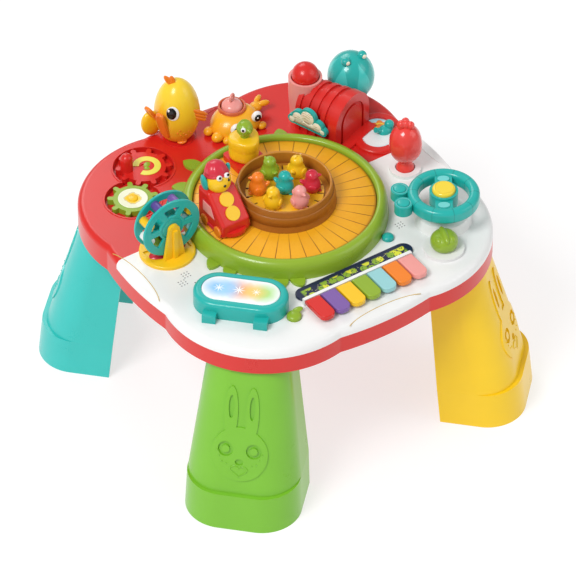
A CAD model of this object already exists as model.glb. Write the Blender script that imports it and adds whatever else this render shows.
# %% [markdown]
# Musical activity table, dressed in Blender.
# The table already exists as exact solids. This lesson gives it its looks: moulded
# plastics, prints, eyes and the soft rounded toys that are easier to shape as meshes.
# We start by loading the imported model, and keep its box, because the looks must fit in it.

# %% Load the frame
import math

import bmesh
import bpy
from mathutils import Matrix, Vector


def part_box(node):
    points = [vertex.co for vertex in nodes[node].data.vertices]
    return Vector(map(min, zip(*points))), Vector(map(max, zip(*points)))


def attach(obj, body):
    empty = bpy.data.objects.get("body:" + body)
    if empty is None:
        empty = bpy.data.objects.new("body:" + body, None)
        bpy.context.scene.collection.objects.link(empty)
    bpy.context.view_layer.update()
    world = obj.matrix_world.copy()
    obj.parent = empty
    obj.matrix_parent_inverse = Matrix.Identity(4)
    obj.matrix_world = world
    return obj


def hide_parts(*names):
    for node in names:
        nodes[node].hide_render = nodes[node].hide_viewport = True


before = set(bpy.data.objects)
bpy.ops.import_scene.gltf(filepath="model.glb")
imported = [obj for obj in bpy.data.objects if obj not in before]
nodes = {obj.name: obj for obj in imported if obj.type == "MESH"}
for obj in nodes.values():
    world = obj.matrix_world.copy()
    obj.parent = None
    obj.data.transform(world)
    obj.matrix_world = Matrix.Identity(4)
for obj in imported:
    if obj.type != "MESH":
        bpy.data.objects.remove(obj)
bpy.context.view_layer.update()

MM = 0.001

# %% [markdown]
# Every piece takes its place from the solids. A small helper turns a node's box into
# millimetres: its low corner, its high corner and its middle. Reading places from the
# model beats typing them again, because the looks then follow when a size changes.

# %% Places in millimetres


def corners(node):
    """Lowest corner, highest corner and middle of a node, in millimetres."""
    low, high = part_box(node)
    low, high = Vector(low) / MM, Vector(high) / MM
    return low, high, (low + high) / 2


DECK_BAND = 11.0
DECK = corners("deck_white")[0].z + DECK_BAND
print("deck surface at", round(DECK, 1), "mm")


def point_at(turn, reach, x=0.0, y=0.0):
    """The point at an angle in degrees and a distance from a centre."""
    angle = math.radians(turn)
    return x + reach * math.cos(angle), y + reach * math.sin(angle)



# %% [markdown]
# Shader maths reads best as plain formulas. A node graph could be wired by hand, link by
# link, but a small class that wraps one socket lets us write `1 - mask` or `noise * 0.2`
# and adds the Math nodes for us. Colours go through Mix nodes, because a Math node would
# turn them grey.

# %% A socket that understands arithmetic


class Wire:
    """One output socket of a node tree, with operators that add Math nodes."""

    def __init__(self, tree, socket):
        self.tree = tree
        self.socket = socket

    def node(self, kind, settings=None, **inputs):
        return add_node(self.tree, kind, settings, **inputs)

    def math(self, operation, *values):
        inputs = {str(index): value for index, value in enumerate(values)}
        return self.node("ShaderNodeMath", {"operation": operation}, **inputs)["Value"]

    def __add__(self, other):
        return self.math("ADD", self, other)

    __radd__ = __add__

    def __mul__(self, other):
        return self.math("MULTIPLY", self, other)

    __rmul__ = __mul__

    def __sub__(self, other):
        return self.math("SUBTRACT", self, other)

    def __rsub__(self, other):
        return self.math("SUBTRACT", other, self)

    def __truediv__(self, other):
        return self.math("DIVIDE", self, other)

    def __gt__(self, other):
        return self.math("GREATER_THAN", self, other)

    def __lt__(self, other):
        return self.math("LESS_THAN", self, other)

    def abs(self):
        return self.math("ABSOLUTE", self)

    def fraction(self):
        return self.math("FRACT", self)

    def floor(self):
        return self.math("FLOOR", self)

    def turn_from(self, other):
        """Angle of the point (other, self), as a share of a full turn from 0 to 1."""
        return (self.math("ARCTAN2", self, other) / (2 * math.pi) + 1.0).fraction()

    def power(self, exponent):
        return self.math("POWER", self, exponent)

    def cosine(self):
        return self.math("COSINE", self)

    def root(self):
        return self.math("SQRT", self)

    def max(self, other):
        return self.math("MAXIMUM", self, other)

    def clamp(self, low, high):
        return self.node("ShaderNodeMapRange", {"clamp": True}, **{
            "Value": self, "From Min": low, "From Max": high})["Result"]


def add_node(tree, kind, settings=None, **inputs):
    """Add a node, set it up, give its sockets values or links, and return its outputs by name."""
    made = tree.nodes.new(kind)
    for name, value in (settings or {}).items():
        if name == "stops":
            set_stops(made.color_ramp, value)
        else:
            setattr(made, name, value)
    for name, value in inputs.items():
        socket = made.inputs[int(name)] if name.isdigit() else made.inputs[name.replace("_", " ")]
        if isinstance(value, Wire):
            tree.links.new(value.socket, socket)
        elif hasattr(socket.default_value, "__len__") and len(socket.default_value) == 4 \
                and len(value) == 3:
            socket.default_value = (*value, 1.0)
        else:
            socket.default_value = value
    return {socket.name: Wire(tree, socket) for socket in made.outputs if socket.enabled}


def set_stops(ramp, stops):
    while len(ramp.elements) > 1:
        ramp.elements.remove(ramp.elements[-1])
    for index, (place, colour) in enumerate(stops):
        element = ramp.elements[0] if index == 0 else ramp.elements.new(place)
        element.position = place
        element.color = (*colour, 1.0)


def mix(mask, first, second):
    """Colour mix: first where the mask is 0, second where it is 1."""
    mask.node("ShaderNodeMix", {"data_type": "RGBA"})
    shader = mask.tree.nodes[-1]
    for slot, value in (("Factor", mask), ("A", first), ("B", second)):
        socket = next(item for item in shader.inputs if item.name == slot and item.enabled)
        if isinstance(value, Wire):
            mask.tree.links.new(value.socket, socket)
        else:
            socket.default_value = (*value, 1.0)
    out = next(item for item in shader.outputs if item.enabled)
    return Wire(mask.tree, out)


# %% [markdown]
# Almost everything here is glossy injection-moulded plastic. It is never one flat colour:
# the melt gives slow shifts in tone, the tool leaves a very fine orange peel, and handling
# dulls the gloss in places. One function makes that family, and a `paint` formula may add
# a print or a second colour on top.

# %% Moulded plastic


def surface(name, colour, paint=None, roughness=0.28, coat=0.2, tone=0.06, peel=0.05):
    """Principled material with tone drift, uneven gloss and fine peel."""
    material = bpy.data.materials.new(name)
    material.use_nodes = True
    tree = material.node_tree
    shader = tree.nodes["Principled BSDF"]
    place = add_node(tree, "ShaderNodeTexCoord")["Object"]
    drift = place.node("ShaderNodeTexNoise", {"noise_dimensions": "3D"},
                       Vector=place, Scale=22.0, Detail=3.0)["Fac"]
    fine = place.node("ShaderNodeTexNoise", {"noise_dimensions": "3D"},
                      Vector=place, Scale=900.0, Detail=2.0)["Fac"]
    base = paint(place) if paint else None
    dark = [channel * (1 - tone) for channel in colour]
    light = [min(1.0, channel * (1 + tone)) for channel in colour]
    body = mix(drift, dark, light)
    if base is not None:
        body = base(body) if callable(base) else base
    tree.links.new(body.socket, shader.inputs["Base Color"])
    gloss = drift * 0.10 + (roughness - 0.05) + fine * 0.03
    tree.links.new(gloss.socket, shader.inputs["Roughness"])
    bump = place.node("ShaderNodeBump", None, Strength=peel, Distance=0.0004, Height=fine)["Normal"]
    tree.links.new(bump.socket, shader.inputs["Normal"])
    shader.inputs["Coat Weight"].default_value = coat
    shader.inputs["Coat Roughness"].default_value = 0.08
    shader.inputs["Specular IOR Level"].default_value = 0.38
    return material


CORAL = (0.66, 0.018, 0.013)
WHITE = (0.84, 0.84, 0.83)
TEAL = (0.014, 0.42, 0.38)
LIME = (0.27, 0.42, 0.025)
YELLOW = (0.90, 0.54, 0.012)
ORANGE = (0.86, 0.22, 0.016)
PINK = (0.84, 0.33, 0.30)
ROSE = (0.62, 0.024, 0.050)
BROWN = (0.36, 0.125, 0.014)
NAVY = (0.010, 0.016, 0.055)
PURPLE = (0.20, 0.10, 0.36)
SKY = (0.30, 0.60, 0.62)

plastics = {
    "coral": surface("coral_plastic", CORAL),
    "white": surface("white_plastic", WHITE, tone=0.02),
    "teal": surface("teal_plastic", TEAL),
    "lime": surface("lime_plastic", LIME),
    "yellow": surface("yellow_plastic", YELLOW),
    "orange": surface("orange_plastic", ORANGE),
    "pink": surface("pink_plastic", PINK),
    "rose": surface("rose_plastic", ROSE),
    "navy": surface("navy_plastic", NAVY, roughness=0.35),
    "purple": surface("purple_plastic", PURPLE),
    "sky": surface("sky_plastic", SKY),
    "black": surface("black_plastic", (0.006, 0.005, 0.005), roughness=0.15),
    "cream": surface("cream_plastic", (0.86, 0.80, 0.62)),
    "leg_green": surface("leg_green_plastic", (0.19, 0.50, 0.026)),
    "leg_yellow": surface("leg_yellow_plastic", (0.93, 0.60, 0.006)),
    "leg_teal": surface("leg_teal_plastic", (0.030, 0.53, 0.49)),
}
print(len(plastics), "plastics")

# %% [markdown]
# The camera stands where the photographer's did: far away with a long lens, so that the
# table is drawn almost without perspective. Its place was found once by fitting the
# table's outline and is kept here as a position and a target.

# %% Camera
SENSOR = 36.0
PHOTO_WIDE, FOCAL_PIXELS = 576, 5719.59
camera_at = Vector((-2.63866, -3.93018, 4.32826))
look_at = Vector((0.00989, 0.00844, 0.09885))
camera = bpy.data.objects.new("camera", bpy.data.cameras.new("camera"))
bpy.context.collection.objects.link(camera)
camera.location = camera_at
camera.rotation_euler = (look_at - camera_at).to_track_quat("-Z", "Y").to_euler()
camera.data.sensor_width = SENSOR
camera.data.lens = FOCAL_PIXELS / PHOTO_WIDE * SENSOR
camera.data.clip_end = 50.0
bpy.context.scene.camera = camera
print("camera", round((camera_at - look_at).length, 2), "m away")

# %% [markdown]
# The studio is plain: a pale floor, a big soft lamp high on the left, a weaker one on the
# right and a bright world. The floor is white to the camera but keeps the soft shadow, as
# in a product photograph.

# %% Floor, world and lamps


def studio_floor():
    mesh = bpy.data.meshes.new("studio_floor")
    half = 6.0
    mesh.from_pydata([(-half, -half, 0), (half, -half, 0), (half, half, 0), (-half, half, 0)], [],
                     [(0, 1, 2, 3)])
    floor = bpy.data.objects.new("studio_floor", mesh)
    bpy.context.collection.objects.link(floor)
    material = bpy.data.materials.new("studio_paper")
    material.use_nodes = True
    shader = material.node_tree.nodes["Principled BSDF"]
    shader.inputs["Base Color"].default_value = (0.36, 0.36, 0.36, 1)
    shader.inputs["Roughness"].default_value = 0.9
    shader.inputs["Emission Color"].default_value = (1.0, 1.0, 1.0, 1)
    shader.inputs["Emission Strength"].default_value = 0.68
    mesh.materials.append(material)
    return floor


def lamp(name, place, size, power):
    data = bpy.data.lights.new(name, "AREA")
    data.size = size
    data.energy = power
    thing = bpy.data.objects.new(name, data)
    bpy.context.collection.objects.link(thing)
    thing.location = place
    thing.rotation_euler = (Vector((0, 0, 0.2)) - Vector(place)).to_track_quat("-Z", "Y").to_euler()
    return thing


studio_floor()
lamp("key_lamp", (-2.2, -0.6, 3.0), 1.3, 84.0)
lamp("fill_lamp", (2.4, -2.2, 2.2), 2.2, 24.0)
lamp("back_lamp", (0.6, 2.8, 2.4), 1.6, 26.0)
world = bpy.data.worlds.new("studio_world")
world.use_nodes = True
bpy.context.scene.world = world
background = world.node_tree.nodes["Background"]
background.inputs["Color"].default_value = (1.0, 1.0, 1.0, 1.0)
background.inputs["Strength"].default_value = 0.46
bpy.context.scene.view_settings.view_transform = "Standard"
print("studio ready")

# %% [markdown]
# Solids that already have the right shape keep their mesh and only get a finish. A table
# of node and plastic is enough for those.

# %% Finishes of the plain solids
FINISH = {
    "coral": ["bottom_tray", "battery_door", "deck_red", "leg_red", "loco_body", "wagon_chassis",
              "gear_red", "tunnel", "joystick", "ball_button", "key_1"],
    "white": ["deck_white", "key_ridge", "wheel_pedestal"],
    "teal": ["rattle_wheel", "rattle_face", "drum_frame", "teal_button", "cloud_sign",
             "chick_teal", "pond_duck"],
    "lime": ["track_ring", "ring_leaves", "wagon_knob", "gear_green", "lime_button",
             "selector_knob", "chick_green", "key_4"],
    "yellow": ["chick_stage", "chicks_yellow", "loco_lamps", "loco_driver", "wagon_body",
               "rattle_bracket", "horn_button", "bird_body", "key_3"],
    "orange": ["chick_orange", "bird_trim", "crab_body", "key_6"],
    "pink": ["chick_pink", "ball_cup", "crab_hat", "key_7"],
    "rose": ["chick_red"],
    "purple": ["key_2"],
    "sky": ["key_5"],
    "leg_green": ["leg_green"],
    "leg_yellow": ["leg_yellow"],
    "leg_teal": ["leg_teal"],
}


def dress(node, material):
    """Give every material slot of a node one finish."""
    mesh = nodes[node].data
    mesh.materials.clear()
    mesh.materials.append(material)


for plastic, dressed in FINISH.items():
    for node in dressed:
        dress(node, plastics[plastic])
print(sum(len(dressed) for dressed in FINISH.values()), "solids dressed")

# %% [markdown]
# The toys are rounded, so they are easier to shape as points and faces than as exact
# solids. A `Form` is a bag of points and faces in millimetres that can be stretched,
# turned, moved and joined before it becomes a mesh. Blender's own primitives could do
# this too, but they need an object for every step.

# %% Forms


class Form:
    """Points and faces in millimetres."""

    def __init__(self, points, faces):
        self.points = [Vector(point) for point in points]
        self.faces = [tuple(face) for face in faces]

    def stretch(self, x, y, z):
        return Form([(p.x * x, p.y * y, p.z * z) for p in self.points], self.faces)

    def turn(self, axis, degrees):
        spin = Matrix.Rotation(math.radians(degrees), 3, axis)
        return Form([spin @ p for p in self.points], self.faces)

    def move(self, x, y, z):
        return Form([p + Vector((x, y, z)) for p in self.points], self.faces)

    def warp(self, rule):
        return Form([rule(p) for p in self.points], self.faces)

    def __add__(self, other):
        start = len(self.points)
        faces = self.faces + [tuple(i + start for i in face) for face in other.faces]
        return Form(self.points + other.points, faces)


def lathe(profile, around=40, ripple=None):
    """Turn a profile of (radius, height) points about Z; radius 0 closes an end."""
    points, faces, rings = [], [], []
    for radius, height in profile:
        if radius < 1e-6:
            rings.append([len(points)] * around)
            points.append((0, 0, height))
            continue
        rings.append(list(range(len(points), len(points) + around)))
        for step in range(around):
            angle = 2 * math.pi * step / around
            reach = radius * (ripple(angle, height) if ripple else 1.0)
            points.append((reach * math.cos(angle), reach * math.sin(angle), height))
    for low, high in zip(rings, rings[1:]):
        for step in range(around):
            after = (step + 1) % around
            face = [low[step], low[after], high[after], high[step]]
            kept = [corner for index, corner in enumerate(face) if corner not in face[:index]]
            if len(kept) > 2:
                faces.append(kept)
    return Form(points, faces)


def blob(x, y, z, around=28, rings=14, ripple=None):
    """Rounded body with three half-axes, its middle at the origin."""
    profile = []
    for step in range(rings + 1):
        angle = math.pi * (step / rings - 0.5)
        profile.append((math.cos(angle) if 0 < step < rings else 0.0, math.sin(angle)))
    return lathe(profile, around, ripple).stretch(x, y, z)


def plate(outline, low, high):
    """Flat plate between two heights from an outline that runs anticlockwise."""
    count = len(outline)
    points = [(x, y, low) for x, y in outline] + [(x, y, high) for x, y in outline]
    faces = [tuple(reversed(range(count))), tuple(range(count, 2 * count))]
    faces += [(i, (i + 1) % count, count + (i + 1) % count, count + i) for i in range(count)]
    return Form(points, faces)


def ring(inner, outer, low, high, around=48, start=0.0, finish=360.0):
    """Flat ring, or a part of one, between two heights."""
    whole = finish - start > 359.9
    steps = around if whole else around + 1
    points, faces = [], []
    for step in range(steps):
        angle = math.radians(start + (finish - start) * step / around)
        for radius, height in ((inner, low), (outer, low), (outer, high), (inner, high)):
            points.append((radius * math.cos(angle), radius * math.sin(angle), height))
    for step in range(around):
        here, there = 4 * step, 4 * ((step + 1) % steps)
        for side in range(4):
            after = (side + 1) % 4
            faces.append((here + side, there + side, there + after, here + after))
    if not whole:
        last = 4 * around
        faces += [(3, 2, 1, 0), (last, last + 1, last + 2, last + 3)]
    return Form(points, faces)


def tube(path, radius, sides=12):
    """Round tube along a path of points, its ends closed."""
    path = [Vector(point) for point in path]
    points, faces = [], []
    side = None
    for index, point in enumerate(path):
        ahead = (path[min(index + 1, len(path) - 1)] - path[max(index - 1, 0)]).normalized()
        if side is None:
            side = ahead.orthogonal().normalized()
        side = (side - ahead * side.dot(ahead)).normalized()
        other = ahead.cross(side)
        thick = radius[index] if isinstance(radius, (list, tuple)) else radius
        for step in range(sides):
            angle = 2 * math.pi * step / sides
            points.append(point + thick * (side * math.cos(angle) + other * math.sin(angle)))
    for index in range(len(path) - 1):
        here, there = index * sides, (index + 1) * sides
        faces += [(here + s, here + (s + 1) % sides, there + (s + 1) % sides, there + s)
                  for s in range(sides)]
    last = (len(path) - 1) * sides
    faces += [tuple(reversed(range(sides))), tuple(range(last, last + sides))]
    return Form(points, faces)


def ellipse(half_x, half_y, count=36, ripple=None):
    points = []
    for step in range(count):
        angle = 2 * math.pi * step / count
        reach = ripple(angle) if ripple else 1.0
        points.append((half_x * reach * math.cos(angle), half_y * reach * math.sin(angle)))
    return points


def piece(form, name, body, material, replaces=(), bevel=0.0, levels=0, crease=40):
    """Make the form a mesh object that rides on a body."""
    mesh = bpy.data.meshes.new(name)
    mesh.from_pydata([p * MM for p in form.points], [], form.faces)
    shaper = bmesh.new()
    shaper.from_mesh(mesh)
    bmesh.ops.recalc_face_normals(shaper, faces=shaper.faces)
    shaper.to_mesh(mesh)
    shaper.free()
    thing = bpy.data.objects.new(name, mesh)
    bpy.context.collection.objects.link(thing)
    mesh.materials.append(plastics[material] if isinstance(material, str) else material)
    if bevel:
        edge = thing.modifiers.new("edge", "BEVEL")
        edge.width = bevel * MM
        edge.segments = 3
        edge.limit_method = "ANGLE"
        edge.angle_limit = math.radians(crease)
    if levels:
        soft = thing.modifiers.new("soft", "SUBSURF")
        soft.levels = soft.render_levels = levels
    mesh.shade_smooth()
    if bevel or crease != 40:
        mesh.set_sharp_from_angle(angle=math.radians(crease))
    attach(thing, body)
    if replaces:
        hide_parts(*replaces)
    return thing


print("forms ready")

# %% [markdown]
# Seven chicks sit in the nest. A chick is one turned body with a waist, then wings, a
# beak and a tail are joined to it. All seven share the form and differ in colour and in
# the way they look, so a function makes each one where its solid stands.

# %% Chicks
CHICK_TALL = 27.0


def chick_form():
    profile = [(0, 0), (6.8, 0), (8.8, 1.6), (10.2, 6.0), (10.0, 10.0), (8.4, 14.0), (6.9, 16.8),
               (7.1, 19.5), (7.2, 22.0), (5.8, 25.0), (3.0, 26.7), (0, CHICK_TALL)]
    body = lathe(profile, 28)
    beak = lathe([(2.7, 0), (2.1, 2.4), (1.0, 4.6), (0, 5.6)], 14).turn("Y", 82).move(5.6, 0, 20.4)
    tail = blob(5.0, 3.4, 2.6, 16, 8).turn("Y", 35).move(-9.4, 0, 11.5)
    wings = Form([], [])
    for side in (-1, 1):
        wings = wings + blob(5.4, 1.8, 4.2, 16, 8).turn("Z", side * 8).move(-0.5, side * 9.2, 9.0)
    comb = blob(3.2, 1.2, 1.9, 14, 8).move(-0.6, 0, CHICK_TALL - 0.6)
    foot = blob(3.0, 2.0, 1.2, 12, 6)
    feet = foot.move(8.0, 3.0, 1.2) + foot.move(8.0, -3.0, 1.2)
    return body + beak + tail + wings + comb + feet


def seat_chick(node, name, plastic, slot, look, x, y):
    low = corners(node)[0].z
    shape = chick_form().turn("Z", look).move(x, y, low)
    return piece(shape, name, "chick_carousel", plastic, (node,), levels=1)


NEST_CIRCLE = 29.5
CHICKS = {"chick_red": ("rose", "coral_red", -30), "chick_green": ("lime", "lime", 90),
          "chick_orange": ("orange", "orange", 150), "chick_pink": ("pink", "pink", -90)}
for node, (plastic, slot, angle) in CHICKS.items():
    seat_chick(node, node + "_toy", plastic, slot, angle, *point_at(angle, NEST_CIRCLE))
seat_chick("chick_teal", "chick_teal_toy", "teal", "teal", -60, 0, 0)
for label, angle in (("right", 30), ("left", -150)):
    seat_chick("chicks_yellow", "chick_yellow_" + label, "yellow", "yellow", angle,
               *point_at(angle, NEST_CIRCLE))
print("seven chicks in the nest")

# %% [markdown]
# The engine's shell is right as a solid. What it lacks is trim: a framed side window, a
# bumper line, wheels that show below the sills and the driver, a soft toy head with
# dark dots, a ridged cap, two eyes and floppy ears. The head is several pieces because
# each colour is a separate moulding.

# %% Engine trim
loco_low, loco_high, loco_mid = corners("loco_body")
SILL = loco_low.z
outside = loco_low.x
window_shape = [(-11, 0), (11, 0), (11, 13), (-4, 13)]


def side_panel(outline, x, y, z, thick, facing):
    """A flat plate standing on the engine's flank."""
    form = plate(outline, 0, thick).turn("X", 90).turn("Z", 90)
    return form.stretch(facing, 1, 1).move(x, y, z)


for side, x, facing in (("left", outside, -1), ("right", loco_high.x, 1)):
    y = loco_mid.y + 4
    frame_outline = [(py * 1.12, pz * 1.15 - 1) for py, pz in window_shape]
    piece(side_panel(frame_outline, x, y, SILL + 20, 0.8, facing), "window_frame_" + side,
          "turntable", "rose", bevel=0.3)
    piece(side_panel(window_shape, x, y, SILL + 20, 1.3, facing), "window_" + side,
          "turntable", "pink", bevel=0.4)
    skirt = [(-20, 0), (20, 0), (20, 4.5), (-20, 4.5)]
    piece(side_panel(skirt, x, loco_mid.y, SILL + 3, 1.2, facing), "sill_" + side,
          "turntable", "rose", bevel=0.5)
    for along in (-13, 13):
        tyre = [(0, -0.6), (6.2, -0.6), (6.6, 0), (6.6, 1.4), (5.6, 2.0), (3.0, 1.4), (0, 1.6)]
        wheel = lathe(tyre, 28)
        wheel = wheel.turn("Y", 90 * facing).move(x, loco_mid.y + along, SILL + 6.7)
        piece(wheel, "engine_wheel_%s_%d" % (side, along + 20), "turntable", "orange")
print("engine trimmed")

# %% Driver
HEAD = 14.3
head_x = corners("loco_driver")[2].x
head_y, head_z = loco_high.y - 14.0, loco_high.z + 7.5
face = blob(HEAD, HEAD, HEAD, 36, 20).move(head_x, head_y, head_z)
piece(face, "driver_face", "turntable", "yellow", ("loco_driver",), levels=1)


def on_head(azimuth, elevation, radius=HEAD):
    """A point on the driver's face by two angles."""
    a, e = math.radians(azimuth), math.radians(elevation)
    return (head_x + radius * math.cos(e) * math.cos(a), head_y + radius * math.cos(e) * math.sin(a),
            head_z + radius * math.sin(e))


for index, (azimuth, elevation) in enumerate(((-62, 22), (-92, 5), (-112, 52))):
    dot = blob(1.8, 1.8, 1.8, 16, 8).move(*on_head(azimuth, elevation, HEAD - 0.7))
    piece(dot, "driver_dot_%d" % index, "turntable", "black")
cap = lathe([(0, 0), (11.5, 0), (13.2, 2.5), (13.0, 7.0), (10.5, 12.5), (6.0, 16.0), (0, 17.0)], 44,
            lambda angle, z: 1 + 0.035 * math.cos(9 * angle))
cap = cap.turn("X", -14).move(head_x, head_y + 3.2, head_z + 6.0)
piece(cap, "driver_cap", "turntable", "rose", levels=1)
ridge = lathe([(11.6, 0), (13.9, 0.4), (14.3, 2.0), (13.6, 3.4), (11.6, 3.6)], 44)
piece(ridge.turn("X", -14).move(head_x, head_y + 3.2, head_z + 6.2), "driver_cap_rim", "turntable",
      "rose", levels=1)
for side in (-1, 1):
    eye = blob(3.4, 3.0, 3.4, 20, 10).move(*on_head(-90 + side * 26, 46, HEAD + 1.2))
    piece(eye, "driver_eye_%d" % (side + 1), "turntable", "white", levels=1)
    pupil = blob(1.7, 1.2, 1.7, 16, 8).move(*on_head(-90 + side * 24, 45, HEAD + 4.0))
    piece(pupil, "driver_pupil_%d" % (side + 1), "turntable", "black")
    size = 1.0 if side < 0 else 0.6
    ear = blob(3.4, 6.0 * size, 13.0 * size, 20, 12).turn("Y", side * 10)
    ear = ear.move(head_x + side * (HEAD + 0.4), head_y + 4.5, head_z - 1 if side < 0 else head_z + 6)
    piece(ear, "driver_ear_%d" % (side + 1), "turntable", "teal", levels=1)
print("driver seated")

# %% [markdown]
# The wagon is a rounded three-cornered drum with a ledge, and on it a small green bird's
# head serves as a grip. A superellipse-like ripple on a turned form gives the three soft
# corners without any boolean. An eye looks out from the side of the grip.

# %% Wagon
wagon_low, wagon_high, wagon_mid = corners("wagon_body")
tall = wagon_high.z - wagon_low.z


def three_corners(angle, height):
    return 1 + 0.07 * math.cos(3 * (angle + math.pi / 2))


drum_profile = [(0, 0), (15.0, 0), (16.6, 1.2), (17.0, tall * 0.45), (16.2, tall * 0.52),
                (17.3, tall * 0.6), (17.4, tall - 3.5), (16.4, tall - 1.0), (14.2, tall), (0, tall)]
piece(lathe(drum_profile, 54, three_corners).move(wagon_mid.x, wagon_mid.y, wagon_low.z),
      "wagon_shell", "turntable", "yellow", ("wagon_body",), levels=1)
grip = blob(9.4, 9.4, 9.0, 32, 16) + lathe([(5.2, -11), (5.0, -8), (6.6, -6)], 24)
beak = lathe([(3.0, 0), (2.4, 2.5), (1.2, 5.0), (0, 6.0)], 16).turn("X", 98).move(0, -6.5, 2.2)
brow = ring(5.6, 7.6, -0.8, 0.8, 30).turn("X", 24).move(0, -1.5, 5.6)
GRIP_RADIUS = 9.2
grip_z = corners("wagon_knob")[1].z - GRIP_RADIUS
piece((grip + beak + brow).move(wagon_mid.x, wagon_mid.y, grip_z), "wagon_grip", "turntable",
      "lime", ("wagon_knob",), levels=1)
for reach, size, name, tint in ((8.6, 3.0, "white", "white"), (10.4, 1.7, "pupil", "black")):
    eye = blob(size, size, size, 18, 9).move(wagon_mid.x - reach * 0.62, wagon_mid.y - reach * 0.66,
                                             grip_z + reach * 0.40)
    piece(eye, "wagon_eye_" + name, "turntable", tint)
print("wagon loaded")

# %% [markdown]
# The big bird is an egg with a face. Its egg is turned, which keeps it perfectly smooth;
# the eye is a white disc, a black oval and a small glint, laid on the egg by two angles.
# The freckles could be painted in the shader, but small domes catch the light as the
# moulded ones do.

# %% Bird
BIRD_RADIUS = 26.0
bird_high = corners("bird_body")[1]
bird_x, bird_y = bird_high.x - BIRD_RADIUS, bird_high.y - BIRD_RADIUS
egg_profile = [(0, 0.4), (12, 0.4), (15.6, 1.6), (19.5, 7), (23.6, 17), (25.8, 29), (25.9, 38),
               (24.4, 49), (20.6, 61), (15.2, 70), (8.6, 76), (3.6, 77.8), (0, 78)]


def warm_breast(place):
    """Yellow above, warmer orange low on the breast."""
    height = place.node("ShaderNodeSeparateXYZ", None, Vector=place)["Z"]
    low = height.clamp(0.285, 0.232)
    return lambda base: mix(low * 0.75, base, (0.88, 0.40, 0.012))


plastics["bird"] = surface("bird_plastic", (0.90, 0.62, 0.03), warm_breast)
piece(lathe(egg_profile, 56).move(bird_x, bird_y, DECK), "bird_egg", "bird", "bird",
      ("bird_body",), levels=1)


def egg_radius(height):
    """Radius of the egg at a height above the deck."""
    for (r0, z0), (r1, z1) in zip(egg_profile, egg_profile[1:]):
        if z0 <= height <= z1 and z1 > z0:
            return r0 + (r1 - r0) * (height - z0) / (z1 - z0)
    return BIRD_RADIUS


def on_egg(azimuth, height, out=0.0):
    """A point on the egg, or a little outside it."""
    return (*point_at(azimuth, egg_radius(height) + out, bird_x, bird_y), DECK + height)


def egg_disc(half_wide, half_tall, thick, azimuth, height, out=0.0, tilt=0.0):
    """Small dome that lies on the egg and looks outwards."""
    disc = blob(thick, half_wide, half_tall, 28, 12).turn("Y", tilt).turn("Z", azimuth)
    return disc.move(*on_egg(azimuth, height, out))


EYE_TURN, EYE_HIGH = -138, 50.0
EYE_TILT = -12
piece(egg_disc(7.4, 8.8, 1.4, EYE_TURN + 4, EYE_HIGH - 0.5, -0.3, EYE_TILT), "bird_eye_white", "bird",
      "white", levels=1)
piece(egg_disc(5.8, 7.2, 1.4, EYE_TURN + 1, EYE_HIGH, 0.9, EYE_TILT), "bird_pupil", "bird",
      "black", levels=1)
piece(egg_disc(1.5, 1.8, 0.8, EYE_TURN - 6, EYE_HIGH + 3.4, 2.0, EYE_TILT), "bird_glint", "bird",
      "white")
FRECKLES = [(-122, 22), (-114, 18), (-105, 21), (-116, 26), (-98, 17), (-92, 22), (-108, 13), (-84, 18)]
spots = Form([], [])
for azimuth, height in FRECKLES:
    spots = spots + egg_disc(0.9, 0.9, 0.7, azimuth, height, -0.1)
piece(spots, "bird_freckles", "bird", "orange")


def slab(long, wide, thick, lift=0.0):
    """Plate with nearly square, rounded ends, bent along its length."""
    outline = []
    for step in range(40):
        a = 2 * math.pi * step / 40
        x, y = math.cos(a), math.sin(a)
        outline.append((long / 2 * math.copysign(abs(x) ** 0.45, x),
                        wide / 2 * math.copysign(abs(y) ** 0.6, y)))
    form = plate(outline, -thick / 2, thick / 2)
    return form.warp(lambda p: Vector((p.x, p.y, p.z + lift * (p.x / long) ** 2)))


bill_near = slab(42, 12, 4.6, 5).turn("Y", 72).turn("Z", 20).move(bird_x - 25.5, bird_y - 10, DECK + 31)
bill_far = slab(34, 12, 3.8, 4).turn("Y", 58).turn("Z", 12).move(bird_x - 31.5, bird_y + 1, DECK + 42)
piece(bill_near, "bird_bill", "bird", "orange", ("bird_trim",), bevel=1.4)
piece(bill_far, "bird_bill_back", "bird", "orange", bevel=1.2)
tail = blob(12.5, 7.0, 17.0, 30, 16).turn("Y", -12).move(bird_x - 25.0, bird_y + 15.0, DECK + 18.0)
piece(tail, "bird_tail", "bird", "yellow", levels=1)
wing = Form([], [])
for step in range(3):
    rib = blob(13.0 - step * 1.2, 2.4, 2.6, 22, 10).turn("Y", 34).move(0, 0, 4.6 - step * 4.4)
    wing = wing + rib
wing = wing.turn("Z", -8).move(*on_egg(-58, 37, 1.2))
piece(wing, "bird_wing", "bird", "orange", levels=1)
crest = Form([], [])
for turn, size in ((-34, 10.0), (-12, 8.0)):
    feather = blob(2.2, 3.6, size, 16, 10).turn("X", turn).move(0, -turn * 0.16, 3.2)
    crest = crest + feather
piece(crest.turn("Z", 60).move(bird_x - 3, bird_y, DECK + 75), "bird_crest", "bird", "orange",
      levels=1)
toes = blob(6.0, 5.4, 2.4, 24, 10).move(*on_egg(-104, 2.9, -1.5))
piece(toes, "bird_foot_tab", "bird", "orange", levels=1)
print("bird stands")

# %% [markdown]
# The crab is squat: a soft dome, stubby feet, one claw with two fingers, two glossy eyes
# and a bell under a ring-shaped hat. Its dome stays on the base and the bell slides, so
# they are pieces on different bodies.

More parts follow.
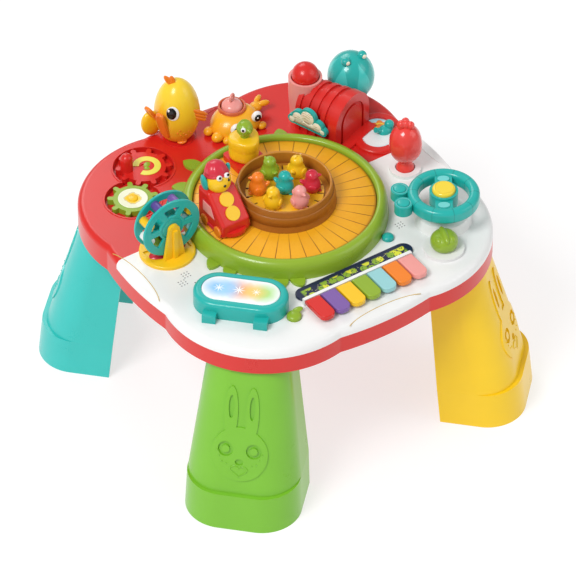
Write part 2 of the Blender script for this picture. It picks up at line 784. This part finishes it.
# %% Crab
HAT_BACK = 6.0
crab_x, hat_y = corners("crab_body")[2].x, corners("crab_hat")[2].y
crab_y = hat_y - HAT_BACK
plastics["crab"] = surface("crab_plastic", (0.90, 0.42, 0.016))
dome = lathe([(0, 0.3), (24, 0.3), (28.5, 2.5), (30, 8), (28.4, 14), (23.5, 20), (17, 24),
              (12.9, 25.5), (0, 18)], 48).stretch(1, 0.84, 1)
feet = Form([], [])
for x, y, size in ((-29, -9, 7.5), (-22, -19, 6.0), (24, -18, 5.5), (-31, 6, 6.5)):
    feet = feet + blob(size, size * 0.85, size * 0.8, 22, 12).move(x, y, size * 0.75)
piece((dome + feet).move(crab_x, crab_y, DECK), "crab_shell", "base", "crab", ("crab_body",),
      levels=1)
claw = blob(9.0, 7.0, 6.0, 24, 12).move(33, 2, 9)
for turn, y in ((22, 5.5), (-24, -4.0)):
    claw = claw + blob(7.5, 3.4, 3.8, 20, 10).turn("Z", turn).move(42, y + 2, 12)
piece(claw.turn("Z", 10).move(crab_x, crab_y, DECK), "crab_claw", "base", "crab", levels=1)
for side, x, y, z in (("left", -13, -21.5, 18.5), ("right", 17, -18.0, 20.5)):
    socket = blob(6.6, 4.6, 6.6, 24, 12).move(crab_x + x, crab_y + y, DECK + z)
    piece(socket, "crab_eye_" + side, "base", "white", levels=1)
    pupil = blob(4.2, 2.4, 4.6, 20, 10).move(crab_x + x - 0.6, crab_y + y - 3.4, DECK + z + 0.2)
    piece(pupil, "crab_pupil_" + side, "base", "black", levels=1)
    glint = blob(1.1, 0.7, 1.2, 14, 8).move(crab_x + x - 2.0, crab_y + y - 5.6, DECK + z + 2.2)
    piece(glint, "crab_glint_" + side, "base", "white")
plastics["brick"] = surface("brick_plastic", (0.62, 0.13, 0.05))
brim = lathe([(12.9, 15), (12.9, 27.0), (13.6, 28.4), (15.4, 28.4), (16.3, 27.0), (15.2, 20),
              (13.0, 15)], 44)
piece(brim.move(crab_x, hat_y, DECK), "crab_hat_ring", "base", "brick", levels=1)
bell = lathe([(0, 17.7), (12.1, 17.7), (12.2, 28), (10.6, 31.2), (6.4, 33.5), (3.4, 35.0), (0, 35.6)], 40)
piece(bell.move(crab_x, hat_y, DECK), "crab_bell", "bell", "pink", ("crab_hat",), levels=1)
loop_points = [point_at(-90 + 15 * step, 4.2) for step in range(25)]
loop = tube([(x, 0, 39.0 + z) for x, z in loop_points], 1.4)
piece(loop.turn("Z", 30).move(crab_x, hat_y, DECK), "crab_bell_loop", "bell", "pink")
print("crab sits")

# %% [markdown]
# The joystick is a plump red fruit-like hen: ridges run down its body as on a tomato, and
# a comb of four bumps sits on top. A cosine ripple on the turned body gives the ridges.

# %% Joystick
stick_mid = corners("joystick")[2]
plastics["hen"] = surface("hen_plastic", (0.82, 0.055, 0.045), roughness=0.22, coat=0.5)


def soft_ridges(angle, height):
    along = min(1, max(0, (height - 18) / 44))
    return 1 + 0.022 * math.cos(6 * angle) * max(0.0, math.sin(math.pi * along))


hen = lathe([(6.4, 12), (7.2, 15), (12.6, 19), (17.4, 26), (19.0, 36), (18.4, 45), (15.0, 54), (9.6, 60.5),
             (4.2, 63), (0, 63.4)], 54, soft_ridges)
stem = lathe([(0, -10.4), (6, -8.6), (10.2, -3), (10.6, 0), (10.3, 5.5), (8.2, 8.5), (6.6, 10.5),
              (6.4, 14), (0, 14)], 40)
comb = Form([], [])
for turn, reach, size in ((150, 5.0, 5.2), (60, 4.6, 4.8), (-50, 5.4, 4.6), (0, 0.5, 5.4)):
    comb = comb + blob(size, size, size * 1.15, 22, 12).move(*point_at(turn, reach), 64.5)
piece((hen + stem + comb).move(stick_mid.x, stick_mid.y, DECK), "hen_joystick", "stick", "hen",
      ("joystick",), levels=1)
print("joystick planted")

# %% [markdown]
# The selector is a green ball with a raised grip bar and two side lobes. The steering
# wheel keeps its solid and gets the lighter thumb pads, ear caps and the seams of its
# segments.

# %% Selector knob and steering wheel
knob_low, _, knob_mid = corners("selector_knob")
grip_ball = lathe([(6.2, 0), (12.6, 0), (14.6, 2.2), (15.7, 8.5), (14.6, 13.5), (10.5, 17.4), (5, 18.6),
                   (0, 18.8)], 44)
bar = blob(14.6, 4.6, 6.2, 30, 14).move(0, 0, 15.0)
lobe = blob(5.0, 5.6, 4.2, 20, 12)
lobes = lobe.move(-7.2, -5.8, 14.0) + lobe.move(7.2, -5.8, 14.0)
piece((grip_ball + bar.turn("Z", 72) + lobes.turn("Z", -20)).move(knob_mid.x, knob_mid.y, knob_low.z),
      "selector_grip", "selector", "lime", ("selector_knob",), levels=1)

_, horn_high, horn_mid = corners("horn_button")
wheel_x, wheel_y, wheel_top = horn_mid.x, horn_mid.y, corners("steering_wheel")[1].z
plastics["pale_teal"] = surface("pale_teal_plastic", (0.16, 0.62, 0.60), tone=0.03)
SPOKE_TURN, PAD_REACH, EAR_REACH = 56.0, 22.0, 48
for index, turn in enumerate((SPOKE_TURN, SPOKE_TURN + 180)):
    pad = plate(ellipse(4.6, 6.6, 26), 0, 1.6).turn("Z", turn)
    piece(pad.move(*point_at(turn, PAD_REACH, wheel_x, wheel_y), wheel_top - 3.2),
          "spoke_pad_%d" % index, "wheel", "pale_teal", bevel=0.5)
ear_top = wheel_top - 2.5
for index, turn in enumerate((140, 169)):
    x, y = point_at(turn, EAR_REACH, wheel_x, wheel_y)
    piece(lathe([(0, 0), (6.8, 0), (7.2, 0.5), (6.9, 1.3), (5.2, 1.9), (0, 2.1)], 32).move(x, y, ear_top),
          "wheel_ear_cap_%d" % index, "wheel", "teal", levels=1)
    piece(ring(7.6, 8.3, 0, 0.35, 40).move(x, y, ear_top), "wheel_ear_seam_%d" % index, "wheel",
          "pale_teal")
plastics["horn"] = surface("horn_plastic", (0.88, 0.66, 0.05), roughness=0.22)
dress("horn_button", plastics["horn"])
horn_ring = ring(9.6, 10.3, horn_high.z - 0.25, horn_high.z + 0.3, 40)
piece(horn_ring.move(wheel_x, wheel_y, 0), "horn_ring", "horn", "horn")
print("wheel and selector trimmed")

# %% [markdown]
# Some solids need a print or a second colour. Each is a formula of the place in the
# world at rest: the distance from a centre, the angle around it, and the height. The
# helper below hands those three to a paint function, in millimetres.

# %% Polar paint


def polar(place, x, y):
    """Distance from a centre, share of a turn around it, and height, in mm."""
    axes = place.node("ShaderNodeSeparateXYZ", None, Vector=place)
    across, along = axes["X"] / MM - x, axes["Y"] / MM - y
    return (across * across + along * along).root(), along.turn_from(across), axes["Z"] / MM


def stripe(value, middle, half, soft=0.3):
    """1 where the value is within a half width of the middle, with a soft edge."""
    return (value - middle).abs().clamp(half + soft, half)


def seams(share, count, reach, half):
    """Lines of constant width that run outwards, a whole number of them in a turn."""
    offset = ((share * count + 0.5).fraction() - 0.5).abs()
    return (offset * reach * (2 * math.pi / count)).clamp(half + 0.25, half)


def plank_paint(place):
    reach, share, _ = polar(place, 0, 0)
    board = (share * PLANKS).floor()
    tone = place.node("ShaderNodeTexWhiteNoise", {"noise_dimensions": "1D"}, W=board)["Value"]
    grain = place.node("ShaderNodeTexNoise", {"noise_dimensions": "3D"}, Vector=place, Scale=150.0,
                       Detail=4.0, Distortion=1.5)["Fac"]
    warm = mix(grain * 0.55 + tone * 0.3, (0.90, 0.47, 0.016), (0.80, 0.30, 0.008))
    line = seams(share, PLANKS, reach, 0.42) * reach.clamp(50, 84).max(0.35)
    rim = reach.clamp(97.2, 99.6)
    return mix((line * 0.85).max(rim * 0.7), warm, (0.25, 0.075, 0.006))


PLANKS = 36
plastics["planks"] = surface("plank_plastic", YELLOW, plank_paint, roughness=0.4)
plank_high = corners("plank_turntable")[1]
edge, top = plank_high.x, plank_high.z
board = lathe([(20, top - 5), (edge - 1, top - 5), (edge, top - 4), (edge, top - 0.8), (edge - 0.8, top),
               (57.5, top), (20, top)], 144)
piece(board, "plank_top", "turntable", "planks", ("plank_turntable",))


nest_top = corners("nest_bowl")[1].z


def nest_paint(place):
    reach, _, height = polar(place, 0, 0)
    grain = place.node("ShaderNodeTexNoise", {"noise_dimensions": "3D"}, Vector=place, Scale=90.0,
                       Detail=3.0, Distortion=2.0)["Fac"]
    wood = mix(grain * 0.6, (0.40, 0.135, 0.012), (0.27, 0.080, 0.008))
    inside = reach.clamp(51.6, 50.4)
    lip = height.clamp(nest_top - 1.2, nest_top - 0.3)
    pale = mix(inside * 0.75, wood, (0.60, 0.27, 0.030))
    return mix(lip * 0.4, pale, (0.52, 0.21, 0.02))


plastics["nest"] = surface("nest_plastic", BROWN, nest_paint, roughness=0.4)
dress("nest_bowl", plastics["nest"])
step_z = nest_top - 8.5
band = lathe([(55.6, step_z - 9.5), (56.2, step_z - 9.5), (54.5, step_z), (54.1, step_z + 0.8),
              (53.7, step_z + 0.8)], 96)
piece(band, "nest_band", "base", "nest")


def stage_paint(place):
    reach, share, _ = polar(place, 0, 0)
    slot = seams(share, 18, reach, 0.8) * stripe(reach, 40, 4)
    return lambda base: mix(slot, base, (0.16, 0.06, 0.01))


plastics["stage"] = surface("stage_plastic", (0.88, 0.50, 0.02), stage_paint, roughness=0.35)
dress("chick_stage", plastics["stage"])
print("wood-like plastics on")

# %% [markdown]
# The drum pad is lit from below: soft pools of blue, orange and green, with small bright
# stars. A star is a distance compared with a radius that swells and shrinks with the
# angle. The dark strip above the keys carries a leafy pattern made from Voronoi cells.

# %% Drum pad, strip and pond prints


def star(place, x, y, size):
    """1 inside a star with eight points."""
    reach, share, _ = polar(place, x, y)
    ray = (share * (8 * math.pi)).cosine().abs().power(6) * 0.75 + 0.25
    return (reach / (ray * size)).clamp(1.0, 0.55)


def glow_paint(place):
    pad = corners("drum_pad")[2]
    along = Vector((math.sqrt(0.5), -math.sqrt(0.5)))
    color = (0.90, 0.93, 0.95)
    for shift, tint in ((-26, (0.16, 0.50, 0.92)), (0, (0.92, 0.24, 0.05)), (25, (0.36, 0.72, 0.12)),
                        (-12, (0.30, 0.62, 0.95)), (13, (0.93, 0.60, 0.14))):
        x, y = pad.x + along.x * shift, pad.y + along.y * shift
        noise = place.node("ShaderNodeTexNoise", {"noise_dimensions": "3D"}, Vector=place, Scale=60.0)["Fac"]
        pool = (polar(place, x, y)[0] + noise * 8).clamp(22, 9)
        color = mix(pool * 0.85, color, tint)
    for shift, size in ((-24, 7), (-2, 8), (17, 6)):
        x, y = pad.x + along.x * shift, pad.y + along.y * shift
        color = mix(star(place, x, y, size), color, (0.98, 0.98, 0.95))
    return color


plastics["glow"] = surface("glow_plastic", WHITE, glow_paint, roughness=0.2)
dress("drum_pad", plastics["glow"])


def strip_paint(place):
    middle = corners("score_strip")[2]
    axes = place.node("ShaderNodeSeparateXYZ", None, Vector=place)
    leaf = place.node("ShaderNodeTexVoronoi", {"voronoi_dimensions": "2D"}, Vector=place, Scale=105.0)
    fleck = place.node("ShaderNodeTexVoronoi", {"voronoi_dimensions": "2D"}, Vector=place, Scale=260.0)
    inside = stripe(axes["Y"] / MM, middle.y - 1.5, 5.5, 1.5) * stripe(axes["X"] / MM, middle.x, 66, 2)
    tint = place.node("ShaderNodeSeparateXYZ", None, Vector=leaf["Color"])
    colour = mix(tint["X"].clamp(0.45, 0.55), (0.72, 0.72, 0.04), (0.26, 0.42, 0.03))
    shape = leaf["Distance"].clamp(0.50, 0.42) * inside
    vein = fleck["Distance"].clamp(0.12, 0.2)
    print_colour = mix(shape * vein, NAVY, colour)
    dots = fleck["Distance"].clamp(0.16, 0.10) * (1 - shape) * inside
    return mix(dots * 0.8, print_colour, (0.75, 0.72, 0.35))


plastics["strip"] = surface("strip_plastic", NAVY, strip_paint, roughness=0.3)
dress("score_strip", plastics["strip"])


def pond_paint(place):
    middle = corners("pond_panel")[2]
    wave = place.node("ShaderNodeTexWave", {"wave_type": "RINGS"}, Vector=place, Scale=26.0,
                      Distortion=4.0)["Fac"]
    water = mix(wave.clamp(0.55, 0.8), (0.80, 0.86, 0.86), (0.42, 0.72, 0.80))
    reach, share, _ = polar(place, middle.x + 9, middle.y + 9)
    petals = (share * (6 * math.pi)).cosine().abs() * 0.3 + 0.7
    patch = (reach / (petals * 11)).clamp(1.0, 0.9)
    ring_line = stripe(reach, 5.0, 0.8)
    flower = mix(ring_line, (0.85, 0.24, 0.03), (0.92, 0.62, 0.05))
    return mix(patch, water, flower)


plastics["pond"] = surface("pond_plastic", WHITE, pond_paint, roughness=0.25)
dress("pond_panel", plastics["pond"])
print("prints on")

# %% [markdown]
# The gears carry round stickers, the pockets have a raised edge. Where the pockets run
# into each other their edges stop, so each edge is an arc and not a whole ring.

# %% Gear stickers and pocket edges
red_x, red_y, green_x, green_y = -88.0, 149.0, -126.89, 110.11
gear_top = corners("gear_green")[1].z


def badge_paint(place):
    """Yellow middle with an uneven outline on a pale disc."""
    noise = place.node("ShaderNodeTexNoise", {"noise_dimensions": "3D"}, Vector=place, Scale=140.0)["Fac"]
    reach = polar(place, green_x, green_y)[0] + noise * 7
    middle = reach.clamp(12.5, 11.5)
    middle_line = stripe(reach, 12.5, 0.5)
    pale = mix(middle, (0.86, 0.88, 0.66), (0.92, 0.62, 0.02))
    return mix(middle_line * 0.5, pale, (0.5, 0.32, 0.02))


plastics["gear_badge"] = surface("gear_badge", WHITE, badge_paint, roughness=0.35)
badge = lathe([(0, 0), (16.2, 0), (16.6, 0.3), (16.2, 0.7), (15.4, 0.5), (0, 0.5)], 48)
piece(badge.move(green_x, green_y, gear_top), "green_gear_badge", "small_gear", "gear_badge")
moon = ring(8.5, 15.8, 0, 0.6, 44, -150, 150).move(red_x + 3.5, red_y - 1.0, gear_top)
plastics["moon"] = surface("moon_plastic", (0.80, 0.76, 0.10))
piece(moon, "red_gear_moon", "big_gear", "moon", bevel=0.2)
sprig = blob(5.2, 3.6, 0.8, 22, 8).turn("Z", 35).move(red_x + 5, red_y + 1, gear_top)
sprig = sprig + blob(3.6, 2.6, 0.8, 18, 8).turn("Z", -40).move(red_x + 1.5, red_y - 4.5, gear_top)
piece(sprig, "red_gear_sprig", "big_gear", "lime", levels=1)
hub = lathe([(0, 0), (5.4, 0), (6.0, 0.5), (5.0, 1.4), (0, 1.7)], 28)
piece(hub.move(green_x, green_y, gear_top + 0.4), "green_gear_hub", "small_gear", "yellow",
      levels=1)
for name, x, y, wide, first, last in (("red", red_x, red_y, 33.85, 260, 550),
                                      ("green", green_x, green_y, 30.95, 83, 367)):
    edge_ring = ring(wide, wide + 2.2, -0.2, 0.8, 72, first, last).move(x, y, DECK)
    piece(edge_ring, "pocket_edge_" + name, "base", "coral", bevel=0.35)
print("gears badged")

# %% [markdown]
# The rattle's discs have wide rims and a broad hub with six windows between them, and the
# track ring is a soft roll. Both are turned or cut from simple rings here.

# %% Rattle discs and track ring
AXLE_X, AXLE_Y, AXLE_Z = -143.0, 16.0, DECK + 42.0


def spoked_disc(thick):
    """Disc with six windows, its axis along Z."""
    rim_ring = lathe([(26.8, 0), (35.2, 0), (36.0, 0.7), (36.0, thick - 0.7), (35.2, thick),
                      (27.4, thick), (26.8, thick - 0.6), (26.8, 0)], 72)
    hub_ring = lathe([(3.7, 0), (15.6, 0), (16.0, 0.5), (16.0, thick - 0.5), (15.4, thick),
                      (13.4, thick), (12.9, thick - 0.7), (11.8, thick - 0.7), (11.3, thick),
                      (3.7, thick), (3.7, 0)], 48)
    spokes = Form([], [])
    for step in range(6):
        bar = plate([(14.5, -3.2), (28.0, -4.2), (28.0, 4.2), (14.5, 3.2)], 0.02, thick - 0.02)
        spokes = spokes + bar.turn("Z", 60 * step)
    return rim_ring + hub_ring + spokes


HALF_WIDE, DISC_THICK = 10.5, 3.0
near = spoked_disc(DISC_THICK).turn("X", 90).move(AXLE_X, AXLE_Y - HALF_WIDE + DISC_THICK, AXLE_Z)
far = spoked_disc(DISC_THICK).turn("X", -90).move(AXLE_X, AXLE_Y + HALF_WIDE - DISC_THICK, AXLE_Z)
barrel = lathe([(3.7, -7.6), (9, -7.6), (9, 7.6), (3.7, 7.6)], 36).turn("X", 90)
piece(near + far + barrel.move(AXLE_X, AXLE_Y, AXLE_Z), "rattle_discs", "rattle", "teal",
      ("rattle_wheel", "rattle_face"), crease=35)
inner, outer_foot = 101.0, 114.0
roll = lathe([(inner, 0), (inner, 19.0), (inner + 0.8, 21.0), (inner + 3, 21.9), (inner + 6, 21.5),
              (inner + 9.2, 19.4), (inner + 11.4, 15.4), (inner + 12.2, 10), (outer_foot - 0.4, 4.5),
              (outer_foot, 1.0), (outer_foot, 0)], 144)
piece(roll.move(0, 0, DECK), "track_roll", "base", "lime", ("track_ring",), crease=60)
print("rattle and ring rounded")

# %% [markdown]
# Rollers take a colour by their angle around the axle; the wheel's windows stay open. The
# cloud gets a cream face with short olive strokes, the dome its pale petals.

# %% Rollers, bracket, cloud and dome


def roller_paint(place):
    axes = place.node("ShaderNodeSeparateXYZ", None, Vector=place)
    across, up = axes["X"] / MM - AXLE_X, axes["Z"] / MM - AXLE_Z
    share = up.turn_from(across)
    stops = [(0.0, YELLOW), (0.125, PURPLE), (0.25, (0.10, 0.06, 0.28)), (0.375, YELLOW), (0.5, WHITE),
             (0.625, LIME), (0.75, ROSE), (0.875, SKY)]
    ramp = place.node("ShaderNodeValToRGB", {"stops": stops}, Fac=share)
    ramp["Color"].socket.node.color_ramp.interpolation = "CONSTANT"
    return ramp["Color"]


plastics["rollers"] = surface("roller_plastic", YELLOW, roller_paint)
dress("rattle_rollers", plastics["rollers"])
well = ring(7, 23, 0, 0.4, 40).stretch(1, 0.42, 1).move(AXLE_X, AXLE_Y, DECK + 2.0)
piece(well, "bracket_well", "base", "rose")
tunnel_spin = Matrix.Rotation(math.radians(19.7), 3, "Z")
tunnel_at = Vector((133.4, 64.0, DECK))


def by_tunnel(form):
    """Carry a form from the tunnel's own frame to the table."""
    return form.warp(lambda p: tunnel_at + tunnel_spin @ p)


def cloud_lines(place):
    cells = place.node("ShaderNodeTexVoronoi", {"voronoi_dimensions": "3D"}, Vector=place, Scale=150.0)
    wave = place.node("ShaderNodeTexWave", {"wave_type": "BANDS", "bands_direction": "Z"}, Vector=place,
                      Scale=95.0, Distortion=7.0)["Fac"]
    stroke = wave.clamp(0.86, 0.94) * cells["Distance"].clamp(0.55, 0.4)
    return lambda base: mix(stroke * 0.8, base, (0.28, 0.27, 0.05))


plastics["cloud_face"] = surface("cloud_face", (0.86, 0.82, 0.66), cloud_lines, roughness=0.35)
CLOUD_PUFFS = [(-0.34, 0.33, 0.27), (-0.05, 0.58, 0.36), (0.24, 0.4, 0.3), (-0.5, 0.2, 0.18),
               (0.42, 0.22, 0.2)]
CLOUD_X, CLOUD_Y, CLOUD_Z, CLOUD_LONG, CLOUD_TALL = -36.8, 37, 17, 52, 30
puffs = Form([], [])
for step, (along, up, radius) in enumerate(CLOUD_PUFFS):
    wide = CLOUD_TALL * radius
    disc = lathe([(0, 0), (wide - 2.6, 0), (wide - 2.2, 0.3), (wide - 2.6, 0.6), (0, 0.6)], 32)
    puffs = puffs + disc.turn("Y", -90).move(
        CLOUD_X - 0.06 * step, CLOUD_Y + CLOUD_LONG * along * 0.86, CLOUD_Z + CLOUD_TALL * up)
bar = plate([(-18, -3.2), (18, -3.2), (18, 5), (-18, 5)], 0, 0.35).turn("X", 90).turn("Z", -90)
puffs = puffs + bar.move(CLOUD_X, CLOUD_Y, CLOUD_Z + 6.5)
piece(by_tunnel(puffs), "cloud_face", "base", "cloud_face")

dome_x, dome_y = 171.0, 122.0


def petal_paint(place):
    _, share, height = polar(place, dome_x, dome_y)
    level_share = height.clamp(DECK + 8, DECK + 58)
    bulge = (level_share * math.pi).math("SINE", level_share * math.pi)
    offset = ((share * 6).fraction() - 0.5).abs()
    patch = (offset * 2.6 - bulge * 0.8).clamp(0.02, -0.05)
    return lambda base: mix(patch * 0.8, base, (0.05, 0.60, 0.55))


plastics["dome"] = surface("dome_plastic", TEAL, petal_paint, roughness=0.24, coat=0.4)
shell = lathe([(0, 0.4), (13.8, 0.4), (13.8, 4.5), (17.5, 8.0), (22.8, 15), (26.2, 24), (26.9, 32),
               (25.6, 41), (21.4, 50), (14.6, 57), (7, 60.4), (0, 61)], 56)
knob = blob(5.4, 5.4, 5.4)
knobs = knob.move(-11, -5.5, 59.2) + knob.move(11, -5.5, 59.2)
piece((shell + knobs).move(dome_x, dome_y, DECK), "dome_shell", "spinner", "dome", ("spinner_dome",),
      levels=1)
for side, x in (("left", -11), ("right", 11)):
    cap = blob(2.6, 1.4, 2.6, 18, 8).move(dome_x + x, dome_y - 10.2, DECK + 60)
    piece(cap, "dome_knob_cap_" + side, "spinner", "cream")


def wheel_paint(place):
    reach, share, _ = polar(place, wheel_x, wheel_y)
    line = seams(share, 10, reach, 0.35) * stripe(reach, 33.5, 6)
    return lambda base: mix(line * 0.7, base, (0.008, 0.22, 0.20))


plastics["wheel"] = surface("wheel_plastic", TEAL, wheel_paint)
dress("steering_wheel", plastics["wheel"])
print("toys painted")

# %% [markdown]
# Last come small things: loudspeaker holes in four groups, a thin line along each grip,
# and on each leg the rabbit's freckles and heart-shaped mouth. A ledge closes the narrow
# gap that the leg's solid has above its toe.

# %% Deck and leg details
holes = Form([], [])
HOLE_STEP = 3.6
for middle_x, middle_y in ((-147.0, -27.0), (-142.0, -46.5), (-157.0, -36.2), (92.0, -88.7)):
    for row in range(3):
        for column in range(3):
            hole = lathe([(0, 0), (0.75, 0), (0.75, 0.08), (0, 0.08)], 12)
            holes = holes + hole.move(middle_x + (row - 1) * HOLE_STEP,
                                      middle_y + (column - 1) * HOLE_STEP, DECK)
plastics["hole"] = surface("hole_shade", (0.16, 0.16, 0.17), roughness=0.6, coat=0.0)
piece(holes, "speaker_holes", "base", "hole")
plastics["gold"] = surface("gold_line", (0.62, 0.42, 0.10), roughness=0.35)
for index in range(4):
    path = [(199 - 13.2 * math.cos(a), 50 * math.sin(a), DECK) for a in
            [math.radians(-68 + 8 * step) for step in range(18)]]
    line = tube(path, 0.45, 8).turn("Z", 90 * index)
    piece(line, "grip_line_%d" % index, "base",
          "gold" if index in (2, 3) else "coral" if index == 1 else "white")


TOE_TOP, LEG_TOP = 45.0, corners("leg_green")[1].z
LEG_ROUND, FOOT_HALF = 44.0, 64.5
SHANK_REACH, SHANK_HALF, TOP_REACH, TOP_HALF = 267.0, 62.5, 224.0, 45.0


def round_front(outer, half, side):
    """How far a leg's rounded front reaches at a distance from its middle."""
    bend = half * LEG_ROUND / FOOT_HALF
    past = max(abs(side) - (half - bend), 0.0)
    return outer - bend + math.sqrt(max(bend ** 2 - past ** 2, 0.0))


def leg_front(side, height):
    """Point on a leg's raised front, in the leg's own frame before it is turned."""
    share = (height - TOE_TOP) / (LEG_TOP - TOE_TOP)
    outer = SHANK_REACH + (TOP_REACH - SHANK_REACH) * share
    half = SHANK_HALF + (TOP_HALF - SHANK_HALF) * share
    return Vector((round_front(outer + 1.4, half + 1.4, side), side, height))


LEGS = {"green": (225, "leg_green_plastic", "leg_green"), "yellow": (315, "yellow", "leg_yellow"),
        "red": (45, "coral_red", "coral"), "teal": (135, "teal", "leg_teal")}
for name, (angle, slot, plastic) in LEGS.items():
    marks = Form([], [])
    for side, height in ((-22, 88), (-25, 94), (-19, 82), (22, 88), (25, 94), (19, 82), (-14, 80), (14, 80)):
        p = leg_front(side, height)
        marks = marks + blob(0.8, 1.0, 1.0, 12, 6).move(p.x, p.y, p.z)
    heart = []
    for step in range(33):
        t = 2 * math.pi * step / 32
        wide = 9.5 * math.sin(t) ** 3
        tall = 8.0 * (13 * math.cos(t) - 5 * math.cos(2 * t) - 2 * math.cos(3 * t) - math.cos(4 * t)) / 13
        heart.append(leg_front(wide, 73 + tall * 0.7))
    marks = marks + tube(heart, 0.8, 8)
    piece(marks.turn("Z", angle), "leg_marks_" + name, "base", plastic)
    stations = [-60.0 + 2.5 * step for step in range(49)]
    front = [(round_front(271.7, 62.3, side), side) for side in stations]
    back = [(round_front(264.6, 61.0, side), side) for side in reversed(stations)]
    ledge = plate(front + back, TOE_TOP - 2.8, TOE_TOP - 0.05)
    piece(ledge.turn("Z", angle), "leg_ledge_" + name, "base", plastic, crease=30)
print("details placed")
